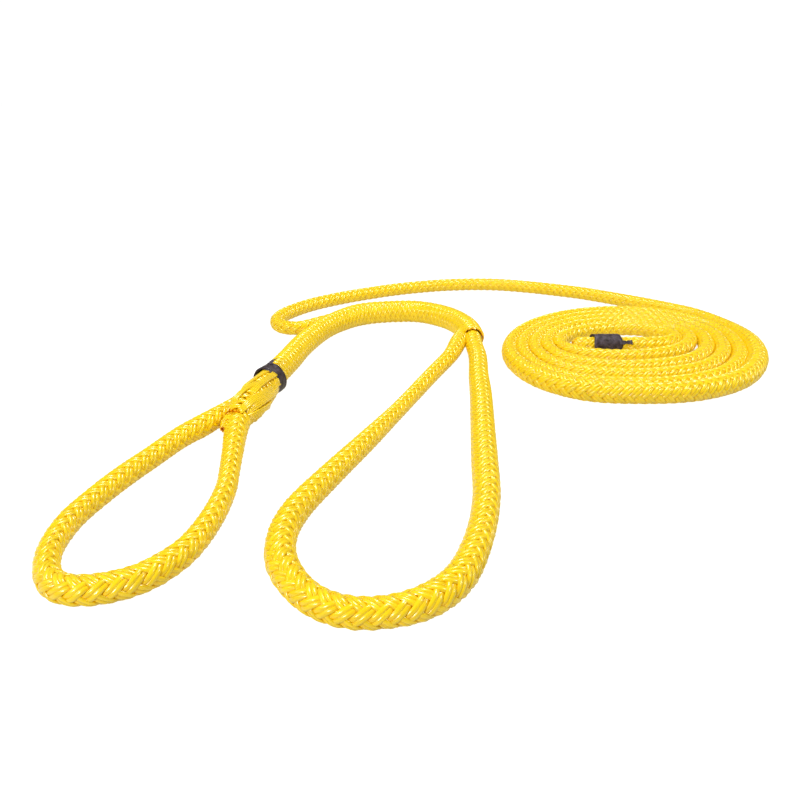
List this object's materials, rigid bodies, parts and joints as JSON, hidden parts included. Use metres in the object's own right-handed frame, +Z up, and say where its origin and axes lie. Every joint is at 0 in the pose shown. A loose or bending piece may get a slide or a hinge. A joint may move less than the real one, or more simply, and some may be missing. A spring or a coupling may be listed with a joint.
{
  "type": "tow rope handle",
  "caption": "Braided tow rope handle with a small fixed hand eye and a large adjustable loop on one hollow-braid sling, with its long tail coiled flat and its end taped.",
  "frame": {"origin": "the middle of the sling's own footprint on the ground, without its free tail", "axes": "+Z up from the ground the rope lies on; +Y from the two eyes towards the sleeve's arch and the tail; +X from the fixed hand eye towards the adjustable loop and the coil"},
  "size_m": [0.5146, 0.5757, 0.0238],
  "materials": {
    "rope": "satin",
    "tape": "matte"
  },
  "bodies": {
    "root": {"hand_eye_right_side": "rope", "hand_eye_bow": "rope", "hand_eye_left_side": "rope", "locked_splice": "rope", "buried_end": "rope", "throat_band": "tape", "throat_band_tab": "tape", "sleeve_front": "rope", "tail_exit": "rope", "sleeve_rear": "rope", "running_core": "rope", "sleeve_mouth": "rope", "loop_running_side": "rope", "loop_bow": "rope", "loop_standing_side": "rope", "tail_line": "rope", "tail_coil": "rope", "tail_last_run": "rope", "end_band": "tape", "end_band_tab": "tape"}
  },
  "joints": []
}
